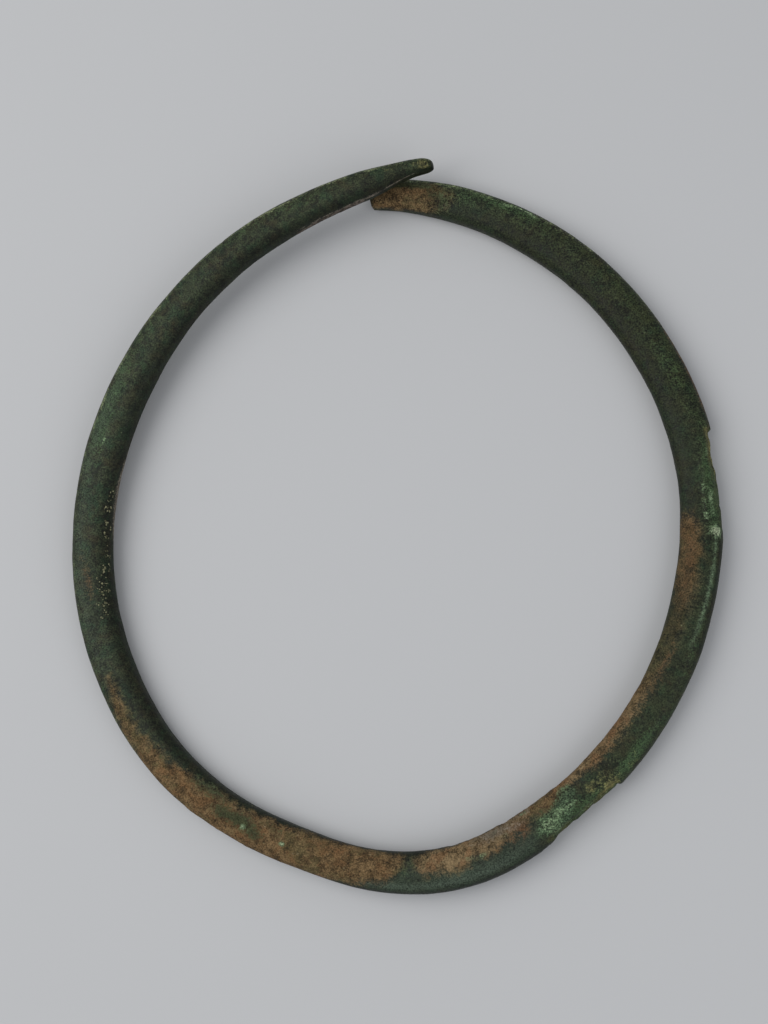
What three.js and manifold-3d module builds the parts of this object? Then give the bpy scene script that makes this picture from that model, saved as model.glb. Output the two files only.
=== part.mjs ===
// A bronze bracelet: one rod bent into a hoop whose tapered ends pass each other.
// Millimetres, Z up. The hoop lies flat, +Y points to the overlapping ends, and the origin is on the
// table under the middle of the hoop. A place round the hoop is its turn, in degrees from the back:
// above 0 along the right arm, below 0 along the left arm.

import * as THREE from 'three';
import Module from 'manifold-3d';

// Sizes of the hoop.
const OPENING_WIDTH = 57.9; // across X, between the inner walls of an even oval
const OPENING_LENGTH = 64.2; // along Y, likewise
const ROD_WIDTH = 4.1; // across the rod in the plane of the hoop
const ROD_HEIGHT = 3; // of the rod above the table
const RIGHT_END_PAST_TOP = 1; // how far the blunt right end runs past the middle of the top
const END_OVERLAP = 7.1; // how far the left end runs past the right end

// Sizes of the layers on the bronze.
const PATINA_THICKNESS = 0.35; // the green mineral skin
const CRUST_THICKNESS = 0.25; // earth and mineral crusts that stand on the skin
const LAYER_GAP = 0.1; // clear space between one layer and the next

// Sizes of the gaps that let the hoop spring open.
const FLEX_SLIT = 0.36; // between two lengths of the rod, measured along it
const END_CLEARANCE = 0.15; // between the crust on the right end and the left end above it
const CORE_END_DEPTH = 2; // how far the bronze stops inside each end of the skin
const CAP_DEPTH = 1; // how much of each end is mineral right through

// Shape of the rod's section and of its ends.
const SECTION_POWER = 2.6; // 2 is an ellipse, and more is squarer
const TIP_ROUNDING = 0.9; // length over which the left tip rounds off
const BLUNT_ROUNDING = 0.3; // length over which the right end's edge is worn
const CUT_OVERRUN = 1; // how far a cut reaches past what it cuts
const SLIVER_SIZE = 0.004; // slivers thinner than this are taken off a cut piece

// Places round the hoop, in degrees.
const FLEX_TURN = 45; // each arm bends at this turn from the back
const LIFT_TURN = 55; // where the left arm starts to rise off the table
const STATION_STEP = 5; // between two sections of the rod
const OUTLINE_STEP = 15; // between two entries of the outline's shares
const FULL_TURN = 360;
const HALF_TURN = 180;

// The outline every OUTLINE_STEP from the back, along each arm: the reach from the middle as shares
// of the even oval, and the rod's width and height as shares of its full size.
const rightReachShares = [1.015, 1.03, 1.016, 1.012, 1.013, 1.01, 1.006, 0.991, 0.97, 0.956, 0.948,
  0.954, 0.972, 0.99];
const leftReachShares = [1.015, 0.99, 0.993, 1.003, 1.004, 1, 0.985, 0.963, 0.943, 0.932, 0.931,
  0.94, 0.975, 1.038];
const rightWidthShares = [0.95, 0.98, 0.99, 0.97, 0.96, 0.97, 0.98, 0.99, 0.99, 0.98, 0.96, 0.9,
  0.73, 0.6];
const leftWidthShares = [0.95, 0.92, 0.92, 0.98, 1.01, 1.03, 1.01, 1.05, 1.02, 0.96, 0.89, 0.83,
  0.68, 0.36];
const rightHeightShares = [1, 1, 1, 1, 1, 1, 1, 1, 1, 1, 1, 0.97, 0.86, 0.8];
const leftHeightShares = [1, 1, 1, 1, 1, 1, 1, 1, 1, 1, 0.99, 0.93, 0.84, 0.66];

// Finishes.
const bronze = { color: 0x6e4a2c, roughness: 0.5, metalness: 0.9 };
const patina = { color: 0x2f4234, roughness: 0.5, metalness: 0 };
const earth = { color: 0x73502f, roughness: 0.95, metalness: 0 };
const paleEarth = { color: 0x93785a, roughness: 0.95, metalness: 0 };
const malachite = { color: 0x6fa07a, roughness: 0.85, metalness: 0 };
const grit = { color: 0x9a9c90, roughness: 0.95, metalness: 0 };

// Sizes that follow from the driving ones.
const HALF_WIDTH = (OPENING_WIDTH + ROD_WIDTH) / 2; // of the rod's middle line
const HALF_LENGTH = (OPENING_LENGTH + ROD_WIDTH) / 2;
const MEAN_RADIUS = (HALF_WIDTH + HALF_LENGTH) / 2;
const CORE_DEPTH = PATINA_THICKNESS + LAYER_GAP; // from the outside down to the bronze
const RIGHT_END = HALF_TURN + turnOf(RIGHT_END_PAST_TOP);
const LEFT_END = RIGHT_END - FULL_TURN - turnOf(END_OVERLAP);
const LIFT_FULL = RIGHT_END - FULL_TURN; // where the left arm passes over the right end's face
const SIDES = 16; // of the rod's section, with a flat facet at the top and at the underside

// The turn, in degrees, that a length along the rod spans.
function turnOf(length) {
  return THREE.MathUtils.radToDeg(length / MEAN_RADIUS);
}

// A smooth value between the entries of the two arms' shares.
function shareAt(leftShares, rightShares, turn) {
  const shares = [...leftShares].reverse().concat(rightShares.slice(1));
  const last = shares.length - 1;
  const place = turn / OUTLINE_STEP + leftShares.length - 1;
  const low = Math.min(Math.max(Math.floor(place), 0), last - 1);
  const entry = (i) => shares[Math.min(Math.max(i, 0), last)];
  const t = place - low;
  const [a, b, c, d] = [entry(low - 1), entry(low), entry(low + 1), entry(low + 2)];
  const bend = 2 * a - 5 * b + 4 * c - d;
  const twist = 3 * (b - c) + d - a;
  return b + (t * (c - a + t * (bend + t * twist))) / 2;
}

const heightAt = (turn) => ROD_HEIGHT * shareAt(leftHeightShares, rightHeightShares, turn);
const widthAt = (turn) => ROD_WIDTH * shareAt(leftWidthShares, rightWidthShares, turn);

// How high the underside stands off the table. The left arm rises evenly, after a soft start, until
// it clears the crust on the right end.
function liftAt(turn) {
  const softShare = 0.25;
  const along = (-turn - LIFT_TURN) / (-LIFT_FULL - LIFT_TURN);
  if (along <= 0) {
    return 0;
  }
  const full = heightAt(RIGHT_END) + LAYER_GAP + CRUST_THICKNESS + END_CLEARANCE;
  const rise = along < softShare ? (along * along) / (2 * softShare) : along - softShare / 2;
  return (full * rise) / (1 - softShare / 2);
}

// A point of the rod's middle line, seen from above.
function middleAt(turn) {
  const angle = THREE.MathUtils.degToRad(turn);
  const reach = shareAt(leftReachShares, rightReachShares, turn);
  const x = reach * HALF_WIDTH * Math.sin(angle);
  const y = -reach * HALF_LENGTH * Math.cos(angle);
  return new THREE.Vector2(x, y);
}

// The section at one station: its middle, its outward direction and its half sizes.
function stationAt(turn) {
  const ahead = middleAt(turn + STATION_STEP / 2);
  const behind = middleAt(turn - STATION_STEP / 2);
  const along = ahead.sub(behind).normalize();
  const middle = middleAt(turn);
  const halfHeight = heightAt(turn) / 2;
  return {
    middle: new THREE.Vector3(middle.x, middle.y, liftAt(turn) + halfHeight),
    outward: new THREE.Vector3(along.y, -along.x, 0),
    halfWidth: widthAt(turn) / 2,
    halfHeight,
  };
}

const stations = new Map();

function cachedStation(index) {
  if (!stations.has(index)) {
    stations.set(index, stationAt(index * STATION_STEP));
  }
  return stations.get(index);
}

// The k-th corner of the unit section, which spans -1 to 1 both ways.
function unitCorner(k) {
  const angle = ((k + 1 / 2) / SIDES) * 2 * Math.PI;
  const widest = Math.cos(Math.PI / SIDES) ** (2 / SECTION_POWER);
  const squared = (v) => (Math.sign(v) * Math.abs(v) ** (2 / SECTION_POWER)) / widest;
  return [squared(Math.cos(angle)), squared(Math.sin(angle))];
}

// A corner of one station's section, moved out by offset and drawn towards the middle by scale.
function cornerAt(index, k, offset, scale) {
  const { middle, outward, halfWidth, halfHeight } = cachedStation(index);
  const [u, v] = unitCorner(k);
  const point = middle.clone().addScaledVector(outward, u * (halfWidth + offset) * scale);
  point.z += v * (halfHeight + offset) * scale;
  return point;
}

// A point on the faceted rod. around goes once round the section from 0 to 1: 0 is the outer side,
// 0.25 the top, 0.5 the inner side and 0.75 the underside.
function surfaceAt(turn, around, offset, scale = 1) {
  const station = turn / STATION_STEP;
  const index = Math.floor(station);
  const corner = around * SIDES - 1 / 2;
  const k = Math.floor(corner);
  const side = (i) => {
    const start = cornerAt(i, k, offset, scale);
    return start.lerp(cornerAt(i, k + 1, offset, scale), corner - k);
  };
  return side(index).lerp(side(index + 1), station - index);
}

// The turns of every station from one turn to another, both ends included.
function turnsBetween(from, to) {
  const turns = [from];
  const near = turnOf(LAYER_GAP);
  const first = (Math.floor((from + near) / STATION_STEP) + 1) * STATION_STEP;
  for (let turn = first; turn < to - near; turn += STATION_STEP) {
    turns.push(turn);
  }
  turns.push(to);
  return turns;
}

// A closed mesh from rings of points, each an even number, with a strip to and fro over each end.
function loftedGeometry(rings) {
  const count = rings[0].length;
  const points = rings.flat();
  const triangles = [];
  for (let r = 0; r + 1 < rings.length; r += 1) {
    for (let k = 0; k < count; k += 1) {
      const a = r * count + k;
      const b = r * count + ((k + 1) % count);
      triangles.push(a, a + count, b, b, a + count, b + count);
    }
  }
  const last = points.length - count;
  for (let k = 0; k + 1 < count / 2; k += 1) {
    const [a, b, c, d] = [k, k + 1, count - 2 - k, count - 1 - k];
    triangles.push(a, b, c, a, c, d);
    triangles.push(last + a, last + c, last + b, last + a, last + d, last + c);
  }
  const geometry = new THREE.BufferGeometry().setFromPoints(points);
  geometry.setIndex(triangles);
  return geometry;
}

// A length of the rod as a closed mesh. Sections to add before or after it are [turn, scale].
function rodGeometry(from, to, offset, before = [], after = []) {
  const whole = turnsBetween(from, to).map((turn) => [turn, 1]);
  const sections = [...before, ...whole, ...after];
  const rings = sections.map(([turn, scale]) => {
    const ring = [];
    for (let k = 0; k < SIDES; k += 1) {
      ring.push(surfaceAt(turn, (k + 1 / 2) / SIDES, offset, scale));
    }
    return ring;
  });
  return loftedGeometry(rings);
}

// A block that stands on a patch of the rod, from the depth inner to the height outer. It spans from
// one turn to another, and lowShare to highShare round the section. Its ends narrow unless square.
function footprintGeometry(place, inner, outer) {
  const { from, to, lowShare, highShare, square = [false, false] } = place;
  const [squareStart, squareEnd] = square;
  const spanShare = highShare - lowShare;
  const middleShare = (lowShare + highShare) / 2;
  const rows = Math.max(2, Math.round(spanShare * SIDES));
  const steps = Math.ceil((2 * (to - from)) / STATION_STEP);
  const narrowShare = 0.35;
  const rings = [];
  for (let i = 0; i <= steps; i += 1) {
    const t = i / steps;
    const turn = from + (to - from) * t;
    const whole = (t < 1 / 2 && squareStart) || (t > 1 / 2 && squareEnd);
    const bulgeShare = whole ? 1 : Math.sqrt(Math.sin(Math.PI * t));
    const halfShare = (spanShare / 2) * (narrowShare + (1 - narrowShare) * bulgeShare);
    const top = [];
    const under = [];
    for (let j = 0; j <= rows; j += 1) {
      const around = middleShare + halfShare * ((2 * j) / rows - 1);
      top.push(surfaceAt(turn, around, outer));
      under.push(surfaceAt(turn, around, inner));
    }
    rings.push([...top, ...under.reverse()]);
  }
  return loftedGeometry(rings);
}

const wasm = await Module();
wasm.setup();

// A closed mesh as a solid that can be cut.
function toSolid(geometry) {
  const vertProperties = geometry.attributes.position.array;
  const triVerts = new Uint32Array(geometry.index.array);
  return new wasm.Manifold(new wasm.Mesh({ numProp: 3, vertProperties, triVerts }));
}

// A cut solid as a mesh again, without the slivers that cuts leave.
function toGeometry(solid) {
  const mesh = solid.simplify(SLIVER_SIZE).getMesh();
  const geometry = new THREE.BufferGeometry();
  geometry.setAttribute('position', new THREE.BufferAttribute(mesh.vertProperties, mesh.numProp));
  geometry.setIndex(new THREE.BufferAttribute(mesh.triVerts, 1));
  return geometry;
}

// A layer of even thickness over a patch of the rod.
function layerOnPatch(place, inner, outer) {
  const overrun = turnOf(CUT_OVERRUN);
  const outside = rodGeometry(place.from - overrun, place.to + overrun, outer);
  const inside = rodGeometry(place.from - 2 * overrun, place.to + 2 * overrun, inner);
  const footprint = footprintGeometry(place, inner - PATINA_THICKNESS, outer + CUT_OVERRUN);
  return toSolid(outside).subtract(toSolid(inside)).intersect(toSolid(footprint));
}

const bracelet = new THREE.Group();

function addPiece(name, finish, geometry) {
  geometry.computeVertexNormals();
  const mesh = new THREE.Mesh(geometry, new THREE.MeshStandardMaterial(finish));
  mesh.name = name;
  bracelet.add(mesh);
}

// The three lengths of the rod, between its ends and the two places where it bends.
const HALF_SLIT = turnOf(FLEX_SLIT) / 2;
const BACK_EDGE = FLEX_TURN - HALF_SLIT;
const ARM_EDGE = FLEX_TURN + HALF_SLIT;
const leftArm = { from: LEFT_END, to: -ARM_EDGE };
const back = { from: -BACK_EDGE, to: BACK_EDGE };
const rightArm = { from: ARM_EDGE, to: RIGHT_END };

// The bronze core. It stops short of the hoop's two ends, inside the skin.
function addCores() {
  const endDepth = turnOf(CORE_END_DEPTH);
  const core = (from, to) => rodGeometry(from, to, -CORE_DEPTH);
  addPiece('core_left_arm', bronze, core(leftArm.from + endDepth, leftArm.to));
  addPiece('core_back', bronze, core(back.from, back.to));
  addPiece('core_right_arm', bronze, core(rightArm.from, rightArm.to - endDepth));
}

// Sections that round an end of the rod off over a length, as turn and scale. into is 1 where the
// rod lies above the end's turn, and -1 where it lies below. The end's face has endShare of the size.
function roundedEnd(end, into, length, endShare) {
  const steps = 3;
  const sections = [];
  for (let i = 0; i < steps; i += 1) {
    const t = i / steps;
    const scaleShare = endShare + (1 - endShare) * Math.sqrt(1 - (1 - t) ** 2);
    sections.push([end + into * turnOf(length) * t, scaleShare]);
  }
  return into > 0 ? sections : sections.reverse();
}

// Where flakes have come off the skin's outer side, down to the bronze.
const upperChip = { from: 84, to: 101, lowShare: -0.11, highShare: 0.15 };
const lowerChip = { from: 28, to: 41, lowShare: -0.1, highShare: 0.17 };

// What is left of a length of skin once its inside and its chips are cut out.
function shell(outside, hollowFrom, hollowTo, chips) {
  let solid = toSolid(outside);
  solid = solid.subtract(toSolid(rodGeometry(hollowFrom, hollowTo, -PATINA_THICKNESS)));
  chips.forEach((chip) => {
    const cut = footprintGeometry(chip, -2 * PATINA_THICKNESS, CUT_OVERRUN);
    solid = solid.subtract(toSolid(cut));
  });
  return toGeometry(solid);
}

// The skin round each length: open at the bending places and closed at the hoop's two ends.
function addSkins() {
  const cap = turnOf(CAP_DEPTH);
  const overrun = turnOf(CUT_OVERRUN);
  const tipFaceShare = 0.4;
  const bluntFaceShare = 0.86;
  const tip = roundedEnd(LEFT_END, 1, TIP_ROUNDING, tipFaceShare);
  const blunt = roundedEnd(RIGHT_END, -1, BLUNT_ROUNDING, bluntFaceShare);
  const left = rodGeometry(leftArm.from + turnOf(TIP_ROUNDING), leftArm.to, 0, tip);
  const middle = rodGeometry(back.from, back.to, 0);
  const right = rodGeometry(rightArm.from, rightArm.to - turnOf(BLUNT_ROUNDING), 0, [], blunt);
  const leftSkin = shell(left, leftArm.from + cap, leftArm.to + overrun, []);
  const backSkin = shell(middle, back.from - overrun, back.to + overrun, [lowerChip]);
  const rightSkin = shell(right, rightArm.from - overrun, rightArm.to - cap, [upperChip]);
  addPiece('patina_left_arm', patina, leftSkin);
  addPiece('patina_back', patina, backSkin);
  addPiece('patina_right_arm', patina, rightSkin);
}

// The pale green mineral on the bottom of a chip, clear of the skin all round it.
function chipFilling({ from, to, lowShare, highShare }) {
  const endClear = 2 * turnOf(LAYER_GAP);
  const sideClearShare = 0.02;
  const depthShare = 0.6;
  const place = {
    from: from + endClear,
    to: to - endClear,
    lowShare: lowShare + sideClearShare,
    highShare: highShare - sideClearShare,
  };
  const filling = layerOnPatch(place, -PATINA_THICKNESS, -depthShare * PATINA_THICKNESS);
  return toGeometry(filling);
}

// The crusts that stand on the skin: name, finish, turns and the shares of the section they span.
function addCrusts() {
  const blunt = RIGHT_END - turnOf(BLUNT_ROUNDING);
  const squareStart = [true, false];
  const squareEnd = [false, true];
  const crusts = [
    ['earth_on_right_end', earth, 166, blunt, 0.14, 0.43, squareEnd],
    ['earth_on_right_arm', earth, ARM_EDGE, 86, 0.25, 0.46, squareStart],
    ['earth_at_lower_right', paleEarth, 30, BACK_EDGE, 0.3, 0.46, squareEnd],
    ['tan_earth_at_bottom', paleEarth, 17, 28, 0.27, 0.45],
    ['pale_earth_at_bottom', paleEarth, 4, 16, 0.14, 0.42],
    ['earth_at_bottom', earth, -26, 3, 0.1, 0.4],
    ['earth_at_bottom_left', earth, -BACK_EDGE, -28, 0.06, 0.4, squareStart],
    ['earth_on_lower_left', earth, -60, -ARM_EDGE, 0.04, 0.3, squareEnd],
    ['grit_inside_left', grit, -94, -80, 0.38, 0.52],
    ['grit_under_left_tip', grit, -177, -163, 0.48, 0.58],
    ['malachite_bloom_lower', malachite, 23, 36, 0.13, 0.25],
    ['malachite_on_right_rim', malachite, 148, 169, 0.04, 0.13],
    ['malachite_on_left_side', malachite, -110, -95, 0.02, 0.15],
  ];
  crusts.forEach(([name, finish, from, to, lowShare, highShare, square]) => {
    const place = { from, to, lowShare, highShare, square };
    const crust = layerOnPatch(place, LAYER_GAP, LAYER_GAP + CRUST_THICKNESS);
    addPiece(name, finish, toGeometry(crust));
  });
}

addCores();
addSkins();
addPiece('malachite_in_upper_chip', malachite, chipFilling(upperChip));
addPiece('malachite_in_lower_chip', malachite, chipFilling(lowerChip));
addCrusts();

// The origin goes on the table under the middle of the whole.
const bounds = new THREE.Box3().setFromObject(bracelet, true);
const centre = bounds.getCenter(new THREE.Vector3());
bracelet.position.set(-centre.x, -centre.y, -bounds.min.z);

export default bracelet;
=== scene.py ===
import math

import bpy
import numpy as np
from mathutils import Matrix, Vector


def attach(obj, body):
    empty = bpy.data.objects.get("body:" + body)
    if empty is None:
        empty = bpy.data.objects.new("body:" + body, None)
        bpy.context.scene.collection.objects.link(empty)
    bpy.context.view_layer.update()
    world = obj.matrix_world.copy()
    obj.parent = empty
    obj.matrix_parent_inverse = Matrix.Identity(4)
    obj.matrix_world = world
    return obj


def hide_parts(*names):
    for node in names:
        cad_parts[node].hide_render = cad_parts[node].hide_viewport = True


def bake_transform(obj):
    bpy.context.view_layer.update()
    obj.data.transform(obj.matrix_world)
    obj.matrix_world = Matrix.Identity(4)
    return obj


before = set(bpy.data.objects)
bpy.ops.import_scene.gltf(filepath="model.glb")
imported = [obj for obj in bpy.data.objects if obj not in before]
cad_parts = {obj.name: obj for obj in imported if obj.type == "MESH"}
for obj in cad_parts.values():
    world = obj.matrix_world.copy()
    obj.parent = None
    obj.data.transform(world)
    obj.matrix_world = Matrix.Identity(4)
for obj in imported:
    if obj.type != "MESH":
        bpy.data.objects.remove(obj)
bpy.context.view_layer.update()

# A bronze bracelet: one rod bent into a hoop, its green skin, and the earth and minerals on it.
# Everything is worked out in millimetres, as the CAD part is, and cast into meshes in metres.
# A place on the hoop is a turn, in degrees from the middle of the back, above 0 along the right
# arm and below 0 along the left one, and a share of the way round the rod: 0 on the outer side,
# 0.25 on top, 0.5 on the inner side and 0.75 underneath.

MM = 0.001

# The bare hoop

OPENING_WIDTH = 57.9
OPENING_LENGTH = 64.2
ROD_WIDTH = 4.1
ROD_HEIGHT = 3.0
RIGHT_END_PAST_TOP = 1.0
END_OVERLAP = 7.1
ARM_CLEARANCE = 0.5  # from the right end up to the left arm that passes over it
SECTION_POWER = 2.6
LIFT_TURN = 55
SOFT_LIFT = 0.25
OUTLINE_STEP = 15
ALONG_STEP = 2.5

RIGHT_REACH = [1.015, 1.03, 1.016, 1.012, 1.013, 1.01, 1.006, 0.991, 0.97, 0.956, 0.948, 0.954,
               0.972, 0.99]
LEFT_REACH = [1.015, 0.99, 0.993, 1.003, 1.004, 1, 0.985, 0.963, 0.943, 0.932, 0.931, 0.94,
              0.975, 1.038]
RIGHT_WIDTH = [0.95, 0.98, 0.99, 0.97, 0.96, 0.97, 0.98, 0.99, 0.99, 0.98, 0.96, 0.9, 0.73, 0.6]
LEFT_WIDTH = [0.95, 0.92, 0.92, 0.98, 1.01, 1.03, 1.01, 1.05, 1.02, 0.96, 0.89, 0.83, 0.68, 0.36]
RIGHT_HEIGHT = [1, 1, 1, 1, 1, 1, 1, 1, 1, 1, 1, 0.97, 0.86, 0.8]
LEFT_HEIGHT = [1, 1, 1, 1, 1, 1, 1, 1, 1, 1, 0.99, 0.93, 0.84, 0.66]

HALF_WIDTH = (OPENING_WIDTH + ROD_WIDTH) / 2
HALF_LENGTH = (OPENING_LENGTH + ROD_WIDTH) / 2
MEAN_RADIUS = (HALF_WIDTH + HALF_LENGTH) / 2
DEGREE = math.radians(MEAN_RADIUS)  # mm along the rod in one degree of turn
RIGHT_END = 180 + RIGHT_END_PAST_TOP / DEGREE
LIFT_FULL = RIGHT_END - 360
LEFT_END = LIFT_FULL - END_OVERLAP / DEGREE


def share_at(left, right, turn):
    """A smooth value between the entries of the two arms' shares."""
    shares = np.array(left[::-1] + right[1:], float)
    place = np.asarray(turn, float) / OUTLINE_STEP + len(left) - 1
    low = np.clip(np.floor(place).astype(int), 0, len(shares) - 2)
    t = place - low
    a, b, c, d = (shares[np.clip(low + i, 0, len(shares) - 1)] for i in (-1, 0, 1, 2))
    return b + t * (c - a + t * (2 * a - 5 * b + 4 * c - d + t * (3 * (b - c) + d - a))) / 2


def rod_height(turn):
    return ROD_HEIGHT * share_at(LEFT_HEIGHT, RIGHT_HEIGHT, turn)


def rod_width(turn):
    return ROD_WIDTH * share_at(LEFT_WIDTH, RIGHT_WIDTH, turn)


def lift(turn):
    """How high the underside stands off the table."""
    along = (-np.asarray(turn, float) - LIFT_TURN) / (-LIFT_FULL - LIFT_TURN)
    rise = np.where(along < SOFT_LIFT, along**2 / (2 * SOFT_LIFT), along - SOFT_LIFT / 2)
    full = rod_height(RIGHT_END) + ARM_CLEARANCE
    return np.where(along <= 0, 0, full * rise / (1 - SOFT_LIFT / 2))


def middle_line(turn):
    """The rod's middle line, seen from above."""
    angle, reach = np.radians(turn), share_at(LEFT_REACH, RIGHT_REACH, turn)
    across, along = HALF_WIDTH * np.sin(angle), -HALF_LENGTH * np.cos(angle)
    return np.stack([reach * across, reach * along], -1)


def section_table():
    """Corners of a unit section, and how far round the full-sized rod each one is."""
    angle = np.linspace(0, 2 * np.pi, 2049)
    across, up = np.cos(angle), np.sin(angle)
    size = (np.abs(across) ** SECTION_POWER + np.abs(up) ** SECTION_POWER) ** (-1 / SECTION_POWER)
    across, up = across * size, up * size
    steps = np.hypot(np.diff(across) * ROD_WIDTH / 2, np.diff(up) * ROD_HEIGHT / 2)
    return across, up, np.concatenate([[0], np.cumsum(steps)])


SECTION_ACROSS, SECTION_UP, SECTION_LENGTH = section_table()
GIRTH = SECTION_LENGTH[-1]
CENTRE = np.zeros(2)


def smooth_rod(turn, around):
    """Places on the smooth rod and the directions that it faces there."""
    turn, around = np.broadcast_arrays(np.asarray(turn, float), np.asarray(around, float))
    along = middle_line(turn + ALONG_STEP) - middle_line(turn - ALONG_STEP)
    along /= np.linalg.norm(along, axis=-1, keepdims=True)
    outward = np.stack([along[..., 1], -along[..., 0]], -1)
    half_width, half_height = rod_width(turn) / 2, rod_height(turn) / 2
    length = np.mod(around, 1) * GIRTH
    across = np.interp(length, SECTION_LENGTH, SECTION_ACROSS)
    up = np.interp(length, SECTION_LENGTH, SECTION_UP)
    faces_across = np.sign(across) * np.abs(across) ** (SECTION_POWER - 1) / half_width
    faces_up = np.sign(up) * np.abs(up) ** (SECTION_POWER - 1) / half_height
    size = np.hypot(faces_across, faces_up)
    flat = middle_line(turn) - CENTRE + outward * (across * half_width)[..., None]
    places = np.dstack([flat[..., 0], flat[..., 1], lift(turn) + half_height * (1 + up)])
    faces_out = outward * (faces_across / size)[..., None]
    facing = np.dstack([faces_out[..., 0], faces_out[..., 1], faces_up / size])
    return places, facing


def hoop_centre():
    places, _ = smooth_rod(np.linspace(LEFT_END, RIGHT_END, 2000)[:, None], np.linspace(0, 1, 64))
    places = places.reshape(-1, 3)
    return (places.min(0) + places.max(0))[:2] / 2


CENTRE = hoop_centre()

# Chance, the same on every run

CHANCE = np.random.default_rng(6289)
SHUFFLE = CHANCE.permutation(4096)
HEIGHTS = CHANCE.uniform(-1, 1, SHUFFLE.size)
SCATTER = CHANCE.uniform(0, 1, (SHUFFLE.size, 3))


def spot_of(cell):
    spot = 0
    for k in range(3):
        spot = SHUFFLE[(spot + cell[..., k]) % SHUFFLE.size]
    return spot


def drift(places, size, seed):
    """Smooth heights from -1 to 1 that change over a size in mm."""
    spread = places / size + 31.7 * seed
    low = np.floor(spread).astype(np.int64)
    part = spread - low
    part = part**3 * (part * (part * 6 - 15) + 10)
    total = 0
    for corner in np.ndindex(2, 2, 2):
        weight = np.prod(np.where(corner, part, 1 - part), -1)
        total = total + weight * HEIGHTS[spot_of(low + np.array(corner))]
    return total


def layers(places, size, count, seed):
    """Drift with finer drift on it, each layer half as large and half as high."""
    return sum(drift(places, size / 2**k, seed + k) / 2**k for k in range(count)) / 1.5


def nearest_grain(places, size, seed):
    """The distance in mm to the nearest of grains that lie about size apart, and its own chance."""
    spread = places / size + 17.3 * seed
    low = np.floor(spread).astype(np.int64)
    nearest = np.full(low.shape[:-1], 9.0)
    fate = np.zeros(low.shape[:-1])
    for corner in np.ndindex(3, 3, 3):
        cell = low + np.array(corner) - 1
        spot = spot_of(cell)
        away = np.linalg.norm(spread - cell - SCATTER[spot], axis=-1)
        closer = away < nearest
        nearest = np.where(closer, away, nearest)
        fate = np.where(closer, (HEIGHTS[spot] + 1) / 2, fate)
    return nearest * size, fate


def rising(low, high, value):
    """0 below low, 1 above high, and a smooth rise between them."""
    t = np.clip((value - low) / (high - low), 0, 1)
    return t * t * (3 - 2 * t)


def falling(low, high, value):
    """1 below low, 0 above high, and a smooth fall between them."""
    return rising(high, low, value)


def spell(value, start, full, fading, end):
    """1 from full to fading, 0 before start and after end, and smooth between them."""
    return rising(start, full, value) * falling(fading, end, value)


def read_off(rows, turn):
    """The value at a turn, from rows of turn and value."""
    return np.interp(turn, *np.array(rows, float).T)


# What has grown on the rod and flaked off it

# Outlines, as rows of turn, low share and high share of the way round.
RIGHT_END_EARTH = [
    (164, 0.22, 0.27), (165, 0.17, 0.33), (167, 0.16, 0.38), (169, 0.13, 0.41), (172, 0.12, 0.435),
    (176, 0.13, 0.48), (179, 0.14, 0.47), (181.5, 0.16, 0.46),
]
RIGHT_ARM_EARTH = [
    (36, 0.4, 0.47), (38, 0.38, 0.48), (41, 0.37, 0.5), (43, 0.335, 0.5), (46, 0.34, 0.52),
    (50, 0.33, 0.53), (54, 0.34, 0.53), (57, 0.34, 0.53), (60, 0.32, 0.53), (63, 0.3, 0.52),
    (66, 0.27, 0.5), (69, 0.27, 0.43), (72, 0.27, 0.4), (75, 0.26, 0.415), (78, 0.235, 0.43),
    (81, 0.23, 0.45), (84, 0.25, 0.46), (86.3, 0.3, 0.45), (87.2, 0.35, 0.41),
]
LOWER_RIGHT_EARTH = [
    (25.5, 0.36, 0.42), (27, 0.31, 0.47), (29, 0.35, 0.49), (31, 0.33, 0.49), (33, 0.31, 0.48),
    (35.5, 0.35, 0.48), (37.2, 0.37, 0.48), (38, 0.4, 0.46),
]
TAN_EARTH = [
    (16, 0.36, 0.43), (17.5, 0.29, 0.47), (20, 0.265, 0.47), (22, 0.29, 0.47), (24, 0.31, 0.48),
    (26, 0.32, 0.48), (27.6, 0.36, 0.44),
]
PALE_EARTH = [
    (6.9, 0.3, 0.35), (8.2, 0.255, 0.39), (9.6, 0.235, 0.42), (12, 0.23, 0.45), (15, 0.235, 0.46),
    (16.5, 0.265, 0.46), (17.8, 0.31, 0.44), (18.6, 0.34, 0.4),
]
LEFT_EARTH = [
    (-62, 0.2, 0.215), (-60, 0.175, 0.235), (-58, 0.15, 0.235), (-56, 0.13, 0.225),
    (-54, 0.12, 0.23), (-52, 0.11, 0.235), (-50, 0.09, 0.24), (-48, 0.08, 0.25), (-46, 0.07, 0.265),
    (-44, 0.06, 0.285), (-42, 0.05, 0.31), (-40, 0.045, 0.33), (-38, 0.04, 0.345),
    (-36, 0.03, 0.355), (-33, 0.03, 0.365), (-30, 0.03, 0.375), (-27, 0.03, 0.37),
    (-22, 0.03, 0.385), (-18, 0.03, 0.4), (-12, 0.04, 0.43), (-8, 0.06, 0.455), (-6, 0.1, 0.47),
    (-4, 0.13, 0.47), (-2, 0.16, 0.45), (0, 0.165, 0.43), (2, 0.2, 0.41), (3.6, 0.25, 0.41),
    (4.9, 0.3, 0.39),
]
UPPER_CHIP_GROWTH = [
    (84.2, -0.08, 0.13), (86, -0.1, 0.2), (88, -0.1, 0.26), (90, -0.1, 0.26), (93, -0.1, 0.25),
    (96, -0.1, 0.22), (99, -0.08, 0.18), (101, -0.02, 0.1),
]
LOWER_CHIP_GROWTH = [
    (28.5, -0.06, 0.1), (30, -0.1, 0.14), (33, -0.1, 0.15), (38, -0.1, 0.15), (42, -0.1, 0.16),
    (43.6, -0.05, 0.1),
]
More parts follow.
